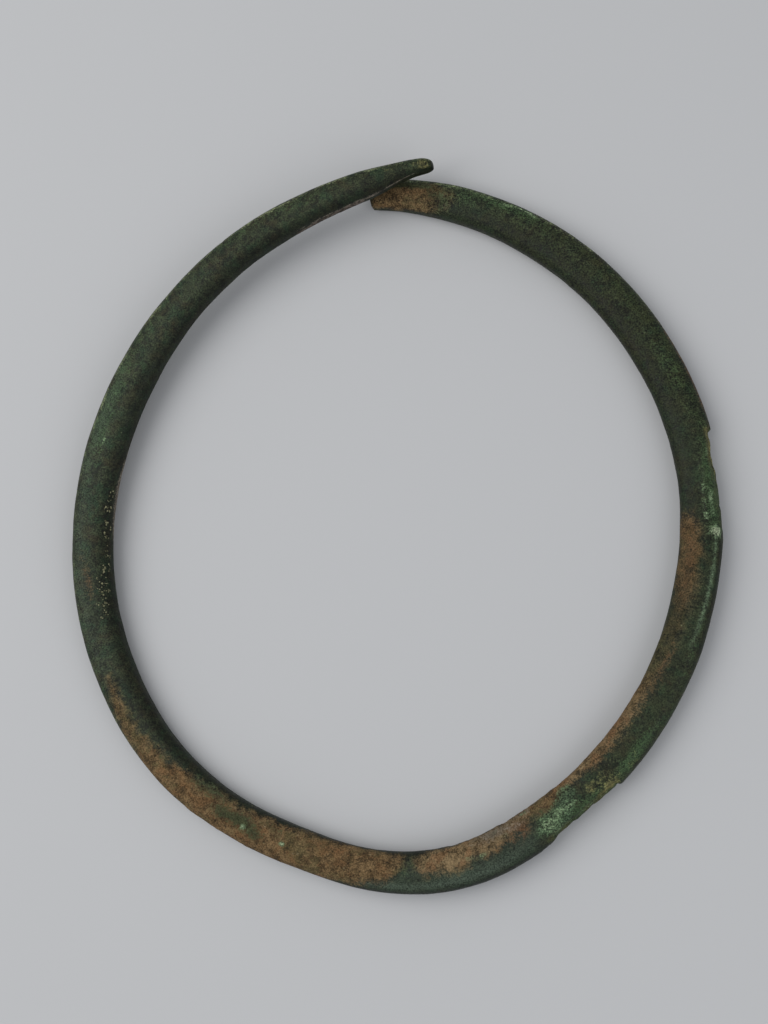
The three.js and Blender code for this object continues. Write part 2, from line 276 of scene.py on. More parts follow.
LOWER_BLOOM = [
    (28.8, 0.2, 0.25), (30, 0.15, 0.3), (32, 0.13, 0.3), (34, 0.13, 0.34), (36, 0.2, 0.41),
    (37.6, 0.26, 0.37), (38.6, 0.28, 0.33),
]
RIGHT_RIM_GROWTH = [
    (146, 0.08, 0.12), (149, 0.07, 0.15), (152, 0.08, 0.17), (156, 0.1, 0.19), (160, 0.12, 0.19),
    (164, 0.13, 0.2), (167, 0.12, 0.16),
]
LEFT_SIDE_GROWTH = [
    (-113, 0.12, 0.18), (-110, 0.1, 0.22), (-106, 0.1, 0.28), (-103, 0.12, 0.28),
    (-100, 0.13, 0.22), (-97, 0.13, 0.17),
]
INSIDE_GRIT = [
    (-96, 0.42, 0.46), (-93, 0.39, 0.48), (-86, 0.38, 0.49), (-83, 0.39, 0.48), (-79, 0.33, 0.44),
    (-75, 0.29, 0.41), (-72.5, 0.31, 0.37),
]
TIP_GRIT = [(-178, 0.46, 0.56), (-172, 0.45, 0.57), (-166, 0.47, 0.57), (-162, 0.5, 0.56)]
TAN_EARTHS = [TAN_EARTH, PALE_EARTH]
BROWN_EARTHS = [RIGHT_END_EARTH, RIGHT_ARM_EARTH, LOWER_RIGHT_EARTH, LEFT_EARTH]

# How thickly the earth lies along the hoop, as rows of turn and strength.
EARTH_STRENGTH = [
    (-62, 0.6), (-52, 0.8), (-44, 1), (1.5, 1), (3.6, 0.8), (5.8, 0.4), (7.6, 0.85), (9.6, 1),
    (36, 1), (50, 0.95), (57, 0.8), (61, 0.35), (65, 0.22), (71, 0.2), (77, 0.55), (87, 0.75),
    (160, 0.25), (166, 0.35), (170, 0.75), (175, 0.95), (178, 0.95), (181, 0.8),
]

# Depths of the two chips, as rows of turn and depth in mm.
UPPER_CHIP = [
    (83.8, 0), (84.6, 0.06), (86, 0.2), (88, 0.25), (89, 0.38), (92, 0.46), (94, 0.5), (95, 0.6),
    (96.6, 0.64), (98, 0.5), (99.6, 0.46), (100.6, 0.4), (100.95, 0),
]
LOWER_CHIP = [
    (27.5, 0), (29, 0.14), (30, 0.26), (31, 0.43), (32, 0.56), (33.5, 0.64), (35, 0.58),
    (36.5, 0.54), (38, 0.6), (39, 0.52), (41, 0.46), (42, 0.4), (43.2, 0.34), (43.8, 0),
]

# Where the hollows behind the chips, the coarse crust low on the inner side, and the thinner tip
# start, are full, start to fade and end: turns, or shares of the way round.
UPPER_HOLLOW, LOWER_HOLLOW = (80, 84, 101, 105), (24, 28, 43.5, 47)
COARSE_TURNS, COARSE_AROUND = (8, 12, 35, 39), (0.36, 0.42, 0.52, 0.58)
SLIM_AROUND = (0.22, 0.42, 0.62, 0.75)
HOLLOW_DEPTH = 0.42
SLIM_DEPTH = 0.5

# How olive and how grainy the skin is along the hoop, as rows of turn and strength.
OLIVE = [
    (-190, 0.5), (-95, 0.1), (-60, 0.2), (-10, 0.5), (5, 0), (40, 0.7), (95, 0.5), (110, 0.9),
    (150, 0.8), (165, 0.4), (180, 0.3),
]
GRAINY = [(-190, 0.3), (-62, 0.3), (-50, 0.2), (98, 0), (106, 0.9)]

# Light lines along the rod, as rows of turn and strength, share of the way round or breadth in mm:
# the outer edge's line, partly wear and partly painted highlight; the ridge line before the upper
# chip, partly a corroded edge and partly painted highlight, by the painted shade of the outer side;
# and the painted reflected light along the left tip's lower side.
RIM_STRENGTH = [
    (-190, 0.9), (-150, 0.8), (-114, 0.7), (-100, 0.7), (-92, 0.3), (-60, 0.2), (-50, 0.6),
    (-8, 0.6), (-5, 0), (102, 0), (108, 0.55), (140, 0.5), (146, 0.6), (156, 0.4), (163, 0.5),
    (168, 1), (176, 1), (180, 0.5),
]
RIM_AROUND = [
    (-190, 0.125), (-170, 0.115), (-75, 0.1), (-60, 0.09), (-30, 0.075), (0, 0.06), (100, 0.035),
    (130, 0.06), (145, 0.085), (160, 0.1), (180, 0.11),
]
RIM_BREADTH = [(-180, 0.42), (-150, 0.3), (100, 0.26), (146, 0.5), (170, 0.4)]
RIDGE_LINE_BREADTH = 0.2
RIDGE_LINE_STRENGTH = [(66, 0), (68, 0.7), (72, 1), (80, 1), (84, 0.6)]
RIDGE_LINE_AROUND = [(66, 0.17), (70, 0.15), (75, 0.135), (80, 0.125), (84, 0.13)]
REFLECTED_LINE_AROUND = [(-189, 0.42), (-186, 0.44), (-182, 0.47), (-178, 0.48), (-172, 0.475)]
REFLECTED_LINE_BREADTH = [(-187, 0.07), (-184, 0.13), (-180, 0.26), (-176, 0.24), (-172, 0.12)]

# The share of the way round where the left arm's painted inner shade starts, and where the clean
# band at the bottom ends.
PAINTED_SHADE_FROM = [(-185, 0.24), (-165, 0.3), (-68, 0.3), (-60, 0.255), (-42, 0.27), (-36, 0.3)]
BAND_TO = [(-6, 0.16), (2, 0.22), (8, 0.3), (26, 0.34)]

# Blots, as rows of turn, share of the way round, half length and half breadth in mm, strength.
BLOTS = {
    "pale": [
        (-186.5, 0.2, 0.4, 0.2, 0.5), (-150, 0.15, 1.4, 0.3, 0.3), (-137, 0.2, 0.9, 0.3, 0.3),
        (-112, 0.2, 1.6, 0.3, 0.45), (-104.6, 0.26, 1, 0.2, 0.8), (-102.5, 0.22, 0.7, 0.2, 0.5),
        (-34.4, 0.387, 0.25, 0.2, 0.6), (-30.1, 0.413, 0.25, 0.2, 0.6), (-27.5, 0.2, 0.9, 0.6, 0.4),
        (-26, 0.387, 0.25, 0.2, 0.6), (-25.5, 0.237, 0.4, 0.35, 1.4),
        (-20.9, 0.197, 0.25, 0.2, 0.7), (-17.7, 0.247, 0.35, 0.3, 1.4),
        (16.6, 0.295, 0.6, 0.3, 0.6), (18.8, 0.275, 0.9, 0.35, 1), (23.8, 0.33, 0.7, 0.4, 0.75),
        (27, 0.277, 0.4, 0.2, 0.3), (28.3, 0.42, 0.5, 0.4, 0.9), (30.2, 0.24, 0.8, 0.5, 0.6),
        (31.3, 0.1, 0.4, 0.5, 0.6), (31.6, 0.19, 1.1, 0.8, 0.95), (33.4, 0.25, 0.9, 0.5, 0.6),
        (35.6, 0.235, 0.9, 0.4, 0.7), (36, 0.09, 2.4, 0.35, 0.5), (36, 0.37, 0.8, 0.5, 0.8),
        (37.4, 0.2, 0.6, 0.4, 0.5), (37.4, 0.3, 0.8, 0.4, 0.4), (38.4, 0.1, 1.1, 0.3, 0.45),
        (41, 0.07, 1.2, 0.3, 0.4), (82, 0.125, 1.2, 0.25, 0.5), (84.8, 0.12, 0.55, 0.8, 1.9),
        (86.8, 0.21, 0.5, 0.3, 0.9), (87.4, 0.15, 0.5, 0.3, 0.4), (87.5, 0.17, 0.5, 0.25, 0.4),
        (88.6, 0.225, 0.9, 0.35, 0.65), (89.5, 0.16, 0.9, 0.3, 0.6), (90.5, 0.18, 0.8, 0.3, 0.75),
        (91.5, 0.225, 0.8, 0.25, 0.8), (96, 0.15, 1.5, 0.5, 0.5), (99.6, 0.1, 0.8, 0.5, 0.5),
        (122, 0.15, 0.4, 0.2, 0.5), (124, 0.1, 0.5, 0.2, 0.5), (130.7, 0.13, 0.8, 0.1, 0.5),
        (136, 0.2, 0.5, 0.12, 0.6), (150.5, 0.105, 1.7, 0.3, 1.3), (155, 0.13, 1.2, 0.3, 0.65),
        (163.5, 0.18, 0.8, 0.4, 0.4), (167, 0.11, 1.6, 0.25, 0.6), (168, 0.16, 0.3, 0.3, 0.7),
        (174, 0.125, 1.5, 0.22, 0.8),
    ],
    "moss": [
        (-166, 0.2, 4, 1, 0.5), (-152, 0.16, 5, 0.8, 0.5), (-128, 0.16, 5, 0.7, 0.4),
        (-115, 0.2, 5, 0.9, 0.7), (-106, 0.18, 5, 1, 0.8), (-85, 0.15, 5, 0.8, 0.3),
        (-66, 0.15, 4, 0.8, 0.4), (-29, 0.27, 2.4, 1.3, 0.9), (-24, 0.26, 1.5, 1, 0.6),
        (5.8, 0.25, 0.9, 1.6, 0.3), (18.5, 0.25, 1.5, 0.5, 0.7), (31, 0.3, 1.4, 0.9, 0.8),
        (34, 0.18, 3, 0.9, 1), (40, 0.15, 2.5, 0.8, 0.7), (47.2, 0.13, 1.1, 0.6, 0.7),
        (47.5, 0.13, 2.2, 0.7, 0.8), (50.5, 0.155, 1.4, 0.5, 0.8), (53, 0.13, 2, 0.6, 0.5),
        (66, 0.13, 3, 0.5, 0.3), (75, 0.13, 6, 0.35, 0.45), (90, 0.14, 3.8, 1.1, 1.3),
        (98, 0.13, 2.5, 0.7, 0.6), (112, 0.2, 4, 1, 0.5), (154, 0.13, 5, 0.8, 1.1),
        (162.5, 0.22, 1.5, 0.9, 0.8), (168, 0.1, 4, 0.4, 1),
    ],
    "mossy": [
        (-46, 0.27, 1.4, 0.4, 0.4), (-36.8, 0.33, 1.5, 0.7, 0.6), (-33, 0.36, 1.4, 0.6, 0.6),
        (-30, 0.25, 1.4, 0.8, 1), (-26, 0.28, 1.3, 0.8, 1.1), (-23, 0.22, 1, 0.6, 0.9),
        (-21, 0.355, 1.2, 0.5, 0.4), (-19, 0.3, 0.8, 0.5, 0.4), (5.8, 0.3, 0.7, 1.2, 0.6),
        (22, 0.4, 0.6, 0.4, 0.4), (28.2, 0.42, 0.7, 0.4, 0.4), (31.5, 0.33, 0.9, 0.5, 0.5),
        (166.5, 0.3, 1.2, 1.2, 0.8), (169, 0.24, 0.8, 0.5, 0.5), (172, 0.16, 2, 0.5, 1),
        (176, 0.17, 1.8, 0.5, 1.2), (180.3, 0.2, 1, 0.5, 0.8),
    ],
    "worn": [
        (-190.2, 0.22, 0.8, 1.5, 0.95), (-187.6, 0.19, 0.8, 0.6, 0.4), (-185, 0.1, 1.5, 0.2, 0.6),
        (-182, 0.2, 2.5, 0.7, 0.3), (40, 0.22, 0.8, 0.4, 0.6), (42.5, 0.12, 1.1, 0.7, 1.1),
        (43, 0.24, 2.4, 0.8, 0.35), (47.5, 0.1, 0.7, 0.5, 0.5), (49, 0.17, 0.4, 0.4, 0.4),
        (96.5, 0.045, 2.2, 0.35, 1.5), (99.8, 0.09, 0.5, 0.5, 0.8),
    ],
    "rusty": [
        (-84, 0.2, 1, 0.5, 0.3), (-79, 0.25, 2.2, 0.7, 0.6), (-36, 0.33, 2, 0.4, 0.4),
        (-10, 0.36, 3, 0.5, 0.5), (25.6, 0.27, 2.4, 0.8, 0.55), (27, 0.33, 1, 0.5, 0.6),
        (37.5, 0.33, 0.8, 0.5, 0.7), (50, 0.42, 4, 1, 0.5), (62, 0.3, 4, 0.7, 0.5),
        (80, 0.33, 4.2, 0.9, 0.6), (110, 0.045, 5.5, 0.45, 1.2), (173, 0.25, 1.5, 0.5, 0.5),
    ],
}
FRAYED_BLOTS = [
    (-101, 0.545, 1.5, 0.25, 0.7), (-96, 0.53, 2.6, 0.45, 1.1), (-90, 0.54, 2.2, 0.3, 0.8),
    (22, 0.4, 2.4, 0.7, 0.7), (26.5, 0.35, 1.3, 0.4, 0.45), (29, 0.43, 1.2, 0.4, 0.5),
]
BARE_BLOTS = [
    (-46, 0.27, 1.4, 0.4, 0.4), (-38, 0.12, 0.8, 0.4, 0.4), (-33, 0.4, 1.4, 0.6, 0.5),
    (-30, 0.27, 1.6, 1, 0.55), (-27.5, 0.1, 1, 0.5, 0.35), (-25.5, 0.3, 1.2, 0.9, 0.5),
    (18.8, 0.28, 0.8, 0.4, 0.5), (22, 0.4, 0.6, 0.4, 0.3), (28.2, 0.42, 0.7, 0.4, 0.4),
    (31.5, 0.33, 0.9, 0.5, 0.5), (165, 0.3, 0.8, 0.9, 0.4), (177.5, 0.22, 0.6, 0.4, 0.4),
]


def inside(outline, turn, around):
    """How far inside an outline a place is, in mm, and below 0 outside it."""
    turns, low, high = np.array(outline, float).T
    low, high = np.interp(turn, turns, low), np.interp(turn, turns, high)
    to_side = np.minimum(around - low, high - around) * GIRTH
    to_end = np.minimum(turn - turns[0], turns[-1] - turn) * DEGREE
    return np.minimum(to_side, to_end)


def inside_any(outlines, turn, around):
    return np.max([inside(outline, turn, around) for outline in outlines], 0)


def blotted(blots, turn, around):
    """The strength of blots that fade outwards, added up."""
    total = 0
    for at_turn, at_around, half_length, half_breadth, strength in blots:
        along = (turn - at_turn) * DEGREE / half_length
        across = (around - at_around) * GIRTH / half_breadth
        total = total + strength * np.exp(-(along**2) - across**2)
    return total


def streak(around, at, breadth):
    """A line along the rod that fades to both sides over a breadth in mm."""
    return np.exp(-(((around - at) * GIRTH / breadth) ** 2))


def unrolled(around):
    """The share of the way round, from -0.25 underneath to 0.75 underneath again."""
    return np.mod(np.asarray(around, float) + 0.25, 1) - 0.25


def chip_depth(turn, around, places):
    """How deep the skin and the metal under it have flaked off."""
    ragged_turn = turn + 0.3 * drift(places, 0.9, 21) + 0.14 * drift(places, 0.35, 22)
    ragged_edge = 0.012 * drift(places, 1.1, 23) + 0.005 * drift(places, 0.4, 24)
    ragged_around = unrolled(around) + ragged_edge
    depth = 0
    for chip, full_to, gone_at in ((UPPER_CHIP, 0.08, 0.19), (LOWER_CHIP, 0.09, 0.17)):
        depth = depth + read_off(chip, ragged_turn) * falling(full_to, gone_at, ragged_around)
    depth = depth * rising(-0.19, -0.1, ragged_around)
    return depth * (1 + 0.16 * layers(places, 0.6, 3, 25))


def hollow(turn, around):
    """How much deeper the skin's inner wall and the bronze lie behind the chips."""
    behind = spell(turn, *UPPER_HOLLOW) + spell(turn, *LOWER_HOLLOW)
    return HOLLOW_DEPTH * behind * falling(0.2, 0.32, unrolled(around))


PIT_SPACING = 1.3  # mm between places that may have a pit
PITTED = 0.3  # the share of them that have one
PIT_DEPTH = 0.07


def pit_depth(places):
    away, fate = nearest_grain(places, PIT_SPACING, 30)
    radius = 0.1 + 0.7 * np.maximum(PITTED - fate, 0)
    return PIT_DEPTH * (fate < PITTED) * falling(0.4 * radius, radius, away)


def relief(turn, around, places):
    """How far the skin stands out from the smooth rod, in mm."""
    depth = chip_depth(turn, around, places)
    around = unrolled(around)
    hammered = 0.05 * drift(places, 7.5, 1) + 0.03 * drift(places, 3.2, 2)
    lumpy = 0.02 * layers(places, 1.4, 4, 3)
    height = hammered + lumpy - pit_depth(places)
    coarse = spell(turn, *COARSE_TURNS) * spell(around, *COARSE_AROUND)
    height = height + coarse * (0.03 + 0.09 * layers(places, 0.9, 3, 9))
    underneath = np.maximum(rising(0.56, 0.64, around), falling(-0.14, -0.06, around))
    height = height - underneath * np.maximum(height, 0)
    slimmer = SLIM_DEPTH * falling(-189, -177, turn) * spell(around, *SLIM_AROUND)
    return height - depth - slimmer


# Marks for the finishes


def painted_shade_at(turn, around):
    """Painted shade: how dark the inner side of both arms, and some of the edges, are painted."""
    left = rising(0, 0.12, around - read_off(PAINTED_SHADE_FROM, turn))
    left = left * falling(0.5, 0.62, around) * falling(45, 60, turn)
    right = spell(around, 0.23, 0.33, 0.5, 0.62) * spell(turn, 64, 70, 172, 180)
    outer_edge = falling(0.08, 0.11, around) * spell(turn, 64, 68, 82, 85)
    bottom_edge = falling(0.06, 0.12, around) * spell(turn, -12, -4, 28, 32)
    bottom_inner = rising(0.43, 0.47, around) * spell(turn, -8, -3, 11, 15)
    tip = falling(-191.1, -190.75, turn) * rising(0.1, 0.2, around)
    return np.max([1.4 * left, 0.9 * right, outer_edge, 1.5 * bottom_edge, 1.5 * bottom_inner,
                   1.6 * tip], 0)


def sheen(turn, around):
    """A painted highlight: the bluish light that lies along the top of the rod, in streaks on the
    bottom band and the left arm.
    """
    bottom_outer = streak(around, 0.145, 0.36) * spell(turn, -6, 0, 19, 29)
    bottom = streak(around, 0.19, 0.4) * spell(turn, 8, 14, 26, 30)
    left_arm = streak(around, 0.17, 0.8) * spell(turn, -125, -108, -68, -58)
    return 1.6 * bottom_outer + 0.75 * bottom + 0.55 * left_arm


def rim(turn, around, places):
    """The light line along the outer edge: partly wear and partly painted highlight."""
    at = read_off(RIM_AROUND, turn) + 0.014 * layers(places, 2.6, 3, 47)
    line = streak(around, at, read_off(RIM_BREADTH, turn))
    return 1.25 * read_off(RIM_STRENGTH, turn) * line * (0.7 + 0.75 * layers(places, 1.6, 3, 46))


# A pale line on the ridge before the upper chip: partly a corroded edge and partly painted
# highlight.
def seam(turn, around, places):
    strength = read_off(RIDGE_LINE_STRENGTH, turn) * spell(turn, 66, 67, 84, 84.5)
    line = streak(around, read_off(RIDGE_LINE_AROUND, turn), RIDGE_LINE_BREADTH)
    return strength * line * (0.75 + 0.35 * drift(places, 1.3, 44))


# Painted reflected light along the left tip's lower side, plus real pale grey spots.
def frayed(turn, around, places):
    line = streak(around, read_off(REFLECTED_LINE_AROUND, turn), read_off(REFLECTED_LINE_BREADTH, turn))
    line = line * spell(turn, -189, -187, -166, -160)
    return line * (0.75 + 0.5 * drift(places, 0.8, 45)) + blotted(FRAYED_BLOTS, turn, around)


def tanned(turn, around):
    """How far inside tan earth a place is, in mm. The earth on the right arm starts partly tan."""
    partly = 0.6 * spell(turn, 36, 38, 54, 60) - 0.3
    return np.maximum(inside_any(TAN_EARTHS, turn, around), partly)


def marks_at(turn, around, places):
    """What the finishes need to know about places on the hoop, one row for each place."""
    turn, around = np.broadcast_arrays(turn, unrolled(around))
    ragged = 0.3 * drift(places, 1.1, 41) + 0.25 * layers(places, 0.4, 2, 42)
    earth = inside_any(BROWN_EARTHS + TAN_EARTHS, turn, around)
    bloom = inside(LOWER_BLOOM, turn, around)
    band_edge = rising(-0.05, 0.05, read_off(BAND_TO, turn) - around)
    marks = {
        "earth": rising(-1, 0.8, earth + ragged),
        "thick": read_off(EARTH_STRENGTH, turn),
        "tan": rising(-0.6, 0.5, tanned(turn, around)),
        "bloom": rising(-0.3, 0.5, bloom + 0.6 * ragged),
        "chip": rising(0.08, 0.3, chip_depth(turn, around, places)),
        "pit": pit_depth(places) / PIT_DEPTH,
        "band": spell(turn, -6, 1, 26, 31) * band_edge * rising(-0.14, -0.06, around),
        "shady": painted_shade_at(turn, around),
        "sheen": sheen(turn, around),
        "rim": rim(turn, around, places),
        "seam": seam(turn, around, places),
        "frayed": frayed(turn, around, places),
        "olive": read_off(OLIVE, turn),
        "grainy": read_off(GRAINY, turn),
        "gritty": rising(-105, -100, turn),
        **{mark: blotted(blots, turn, around) for mark, blots in BLOTS.items()},
    }
    flat = {mark: values.ravel() for mark, values in marks.items()}
    return {"place": places.reshape(-1, 3), **flat}


# Casting pieces


def placed(name, data):
    """A new object in the scene."""
    made = bpy.data.objects.new(name, data)
    bpy.context.scene.collection.objects.link(made)
    return made


def cast(name, places, faces, marks, finish):
    """A mesh piece from places in mm, with marks for its finish at each place."""
    mesh = bpy.data.meshes.new(name)
    mesh.from_pydata((places * MM).tolist(), [], faces)
    mesh.shade_smooth()
    for mark, values in marks.items():
        kind, field = ("FLOAT_VECTOR", "vector") if values.ndim == 2 else ("FLOAT", "value")
        attribute = mesh.attributes.new(mark, kind, "POINT")
        attribute.data.foreach_set(field, values.astype(np.float32).ravel())
    mesh.materials.append(finish)
    return placed(name, mesh)


def grid_faces(rows, columns, start=0, closed=False, flipped=False):
    """Four-cornered faces of a grid of places that runs row by row."""
    row = np.arange(rows - 1)[:, None] * columns + start
    column = np.arange(columns if closed else columns - 1)[None]
    after = (column + 1) % columns
    corners = [row + column, row + columns + column, row + columns + after, row + after]
    faces = np.stack(corners, -1).reshape(-1, 4)
    return (faces[:, ::-1] if flipped else faces).tolist()


ROUND = 96  # places round the rod
STATIONS = 900  # places along one half of the hoop
INNER_STATIONS = 90
SHELL = 0.4  # the skin's thickness
CORE_ROUND, CORE_STATIONS = 32, 110
CORE_DEPTH = 0.46  # from the outside down to the bronze
CORE_GAP = 0.6  # between the bronze and the solid skin of a free end
END_RINGS = (0.06, 0.3, 0.55, 0.8)  # the sizes of the rings across an end, its edge being 1
# Each free end: its turn, how far back its rounding starts in mm, how much smaller its face is,
# how far it is solid skin in mm, and how many degrees askew it was cut.
ENDS = {
    "left": (LEFT_END - 0.55, 1.1, 0.62, 4.6, 0.1),
    "right": (RIGHT_END, 0.2, 0.12, 0.8, 0.3),
}


def rounded_stations(side):
    """Turns from a free end to the join at the back, and the size of the rod's section at each."""
    end, rounding, narrowing, _, _ = ENDS[side]
    angle = np.linspace(0, np.pi / 2, 7)[:-1]
    from_end = rounding * (1 - np.cos(angle))
    rest = np.linspace(rounding, abs(end) * DEGREE, STATIONS)
    lengths = np.concatenate([from_end, rest])
    size = np.concatenate([1 - narrowing * (1 - np.sin(angle)), np.ones(STATIONS)])
    return end - np.sign(end) * lengths / DEGREE, size


def end_rings(end, edge, middle):
    """Rings of places across a free end, from near its middle out towards its edge."""
    along = smooth_rod(end, 0.25)[0][0, 0] - smooth_rod(end - np.sign(end), 0.25)[0][0, 0]
    along[2] = 0
    along /= np.linalg.norm(along)
    rings = []
    for share in END_RINGS:
        ring = middle + (edge - middle) * share
        dent = (0.05 * drift(ring, 0.7, 51) - 0.04) * (1 - share)
        rings.append(ring + along * dent[:, None])
    return rings


def skin(side):
    """One half of the green skin: a shell from a closed free end to the join at the back."""
    end, _, _, solid, askew = ENDS[side]
    turns, size = rounded_stations(side)
    around = np.arange(ROUND) / ROUND
    cut = askew * np.cos(2 * np.pi * around)
    turn = turns[:, None] + cut * falling(0, 4, np.abs(end - turns[:, None]))
    smooth, facing = smooth_rod(turn, around)
    outer = smooth + facing * relief(turn, around, smooth)[..., None]
    middles = outer.mean(1, keepdims=True)
    outer = middles + (outer - middles) * size[:, None, None]
    outer[..., 2] = np.maximum(outer[..., 2], 0)
    face = end_rings(end, outer[0], middles[0])

    inner_from = end - np.sign(end) * solid / DEGREE
    inner_turns = np.linspace(0, inner_from, INNER_STATIONS)[:, None] * np.ones(ROUND)
    in_smooth, in_facing = smooth_rod(inner_turns, around)
    inner = in_smooth - in_facing * (SHELL + hollow(inner_turns, around))[..., None]

    first, last = np.mean(face[0], 0)[None], inner[-1].mean(0)[None]
    places = np.concatenate([first, *face, outer.reshape(-1, 3), inner.reshape(-1, 3), last])
    marks = marks_at(turn, around, smooth)
    for mark, values in marks.items():
        rows = values.shape[1:]
        on_face = [values[:ROUND]] * len(face)
        none, none_inside = np.zeros((1,) + rows), np.zeros((inner_turns.size,) + rows)
        marks[mark] = np.concatenate([none, *on_face, values, none_inside, none])
    marks["place"] = np.concatenate([first, *face, smooth.reshape(-1, 3),
                                     in_smooth.reshape(-1, 3), last])

    rings = len(face) + len(turns) + INNER_STATIONS
    flipped = side == "right"
    faces = grid_faces(rings, ROUND, start=1, closed=True, flipped=flipped)
    back = len(places) - 1
    for k in range(ROUND):
        after = (k + 1) % ROUND
        near = [0, 1 + k, 1 + after]
        far = [back, back - ROUND + after, back - ROUND + k]
        faces += [near[::-1], far[::-1]] if flipped else [near, far]
    return places, faces, marks


def bronze_core(side):
    """One half of the bronze rod inside the skin."""
    end, _, _, solid, _ = ENDS[side]
    start = end - np.sign(end) * (solid + CORE_GAP) / DEGREE
    around = np.arange(CORE_ROUND) / CORE_ROUND
    turns = np.linspace(start, 0, CORE_STATIONS)[:, None] * np.ones(CORE_ROUND)
    smooth, facing = smooth_rod(turns, around)
    places = smooth - facing * (CORE_DEPTH + hollow(turns, around))[..., None]
    places = places.reshape(-1, 3)
    flipped = side == "right"
    faces = grid_faces(CORE_STATIONS, CORE_ROUND, closed=True, flipped=flipped)
    last = len(places) - CORE_ROUND
    caps = [list(range(CORE_ROUND)), list(range(last, len(places)))[::-1]]
    faces += [cap[::-1] for cap in caps] if flipped else caps
    return places, faces, {"place": places}


MARGIN = 0.5  # how far a growth's sheet runs on under the skin
UNDER = -0.2  # height of a growth's underside
SUNK = -0.13  # height of its top where it is under the skin
THINNEST = 0.06  # the least thickness of the sheet
STEP, GRAIN_STEP = 0.1, 0.05  # between the places of a sheet, and of one with grains
GRAIN_SPACING = 0.24  # mm between places that may have a grain
END_WEAR = 0.35  # off the earth at the right end's own edge


def sheet(outline, step):
    """A grid of turns and shares of the way round that covers an outline and its margin."""
    turns, low, high = np.array(outline, float).T
    first, last = turns[0] - MARGIN / DEGREE, turns[-1] + MARGIN / DEGREE
    last = min(last, RIGHT_END - 0.05 / DEGREE)
    low, high = low.min() - MARGIN / GIRTH, high.max() + MARGIN / GIRTH
    rows, columns = int((last - first) * DEGREE / step), int((high - low) * GIRTH / step)
    return np.meshgrid(np.linspace(first, last, rows), np.linspace(low, high, columns),
                       indexing="ij")


def lumps_on(places, body, thickness):
    """The height of a crust that lies in lumps and frays where its body ends."""
    lumps = 0.72 + 0.28 * layers(places, 0.9, 4, 66)
    frayed_edge = 0.03 * layers(places, 0.35, 2, 68) - 0.025
    return thickness * body * lumps + frayed_edge * (1 - body)


def grains_on(places, body, thickness, grain):
    """The height of single grains. grain is the share of places that have one."""
    away, fate = nearest_grain(places, GRAIN_SPACING, 70)
    radius = (0.04 + 0.13 * fate / grain) * rising(-0.5, 0.1, drift(places, 0.9, 71))
    grains = (fate < grain) * falling(0.3 * radius, radius + 0.001, away)
    return body * (thickness * grains + SUNK * falling(0, 0.3, grains))


def growth(outline, thickness, edge, ragged, grain, bare):
    """A crust on the skin: a closed sheet that dips under the skin all round its ragged edge."""
    turn, around = sheet(outline, GRAIN_STEP if grain else STEP)
    smooth, facing = smooth_rod(turn, around)
    base = relief(turn, around, smooth)
    depth = inside(outline, turn, around)
    depth = depth + ragged * (drift(smooth, 1.8, 61) + 0.6 * layers(smooth, 0.7, 3, 62))
    depth = depth - bare * (0.5 + drift(smooth, 0.8, 65)) - 1.2 * blotted(BARE_BLOTS, turn, around)
    body = rising(-0.05, edge, depth)
    if grain:
        crest = grains_on(smooth, body, thickness, grain)
    else:
        crest = lumps_on(smooth, body, thickness)
    height = base + crest + SUNK * falling(-0.22, 0, depth)
    if outline is RIGHT_END_EARTH:
        height = height - END_WEAR * falling(0.15, 0.45, (RIGHT_END - turn) * DEGREE)
    top = smooth + facing * height[..., None]
    bottom = smooth + facing * np.minimum(base + UNDER, height - THINNEST)[..., None]
    places = np.concatenate([top.reshape(-1, 3), bottom.reshape(-1, 3)])
    marks = marks_at(turn, around, smooth)
    marks = {k: np.concatenate([v, v]) for k, v in marks.items()}
    rows, columns = turn.shape
    count = turn.size
    faces = grid_faces(rows, columns) + grid_faces(rows, columns, start=count, flipped=True)
    ring = border(rows, columns)
    for a, b in zip(ring, ring[1:] + ring[:1]):
        faces.append([a, a + count, b + count, b])
    return places, faces, marks


def border(rows, columns):
    """The outline of a grid, anticlockwise when it is seen from its outer side."""
    last = (rows - 1) * columns
    return (
        list(range(0, last, columns))
        + list(range(last, last + columns - 1))
        + list(range(last + columns - 1, columns - 1, -columns))
        + list(range(columns - 1, 0, -1))
    )


# Finishes


def shade(red, green, blue):
    """A colour as it is seen, from 0 to 255, in the numbers that a shader takes."""
    parts = [c / 255 for c in (red, green, blue)]
    return tuple(c / 12.92 if c < 0.04045 else ((c + 0.055) / 1.055) ** 2.4 for c in parts) + (1,)


class Wire:
    """A value on its way through a finish. Sums and products of wires add Math nodes."""

    def __init__(self, finish, socket):
        self.finish, self.socket = finish, socket

    def worked(self, operation, first, second):
        sockets = {"Value": first, "Value_001": second}
        return self.finish.node("Math", {"operation": operation}, sockets)

    def __add__(self, other):
        return self.worked("ADD", self, other)

    __radd__ = __add__

    def __sub__(self, other):
        return self.worked("SUBTRACT", self, other)

    def __rsub__(self, other):
        return self.worked("SUBTRACT", other, self)

    def __mul__(self, other):
        return self.worked("MULTIPLY", self, other)

    __rmul__ = __mul__

    def at_least(self, least):
        return self.worked("MAXIMUM", self, least)

    def __lt__(self, other):
        return self.worked("LESS_THAN", self, other)

    def __gt__(self, other):
        return self.worked("GREATER_THAN", self, other)


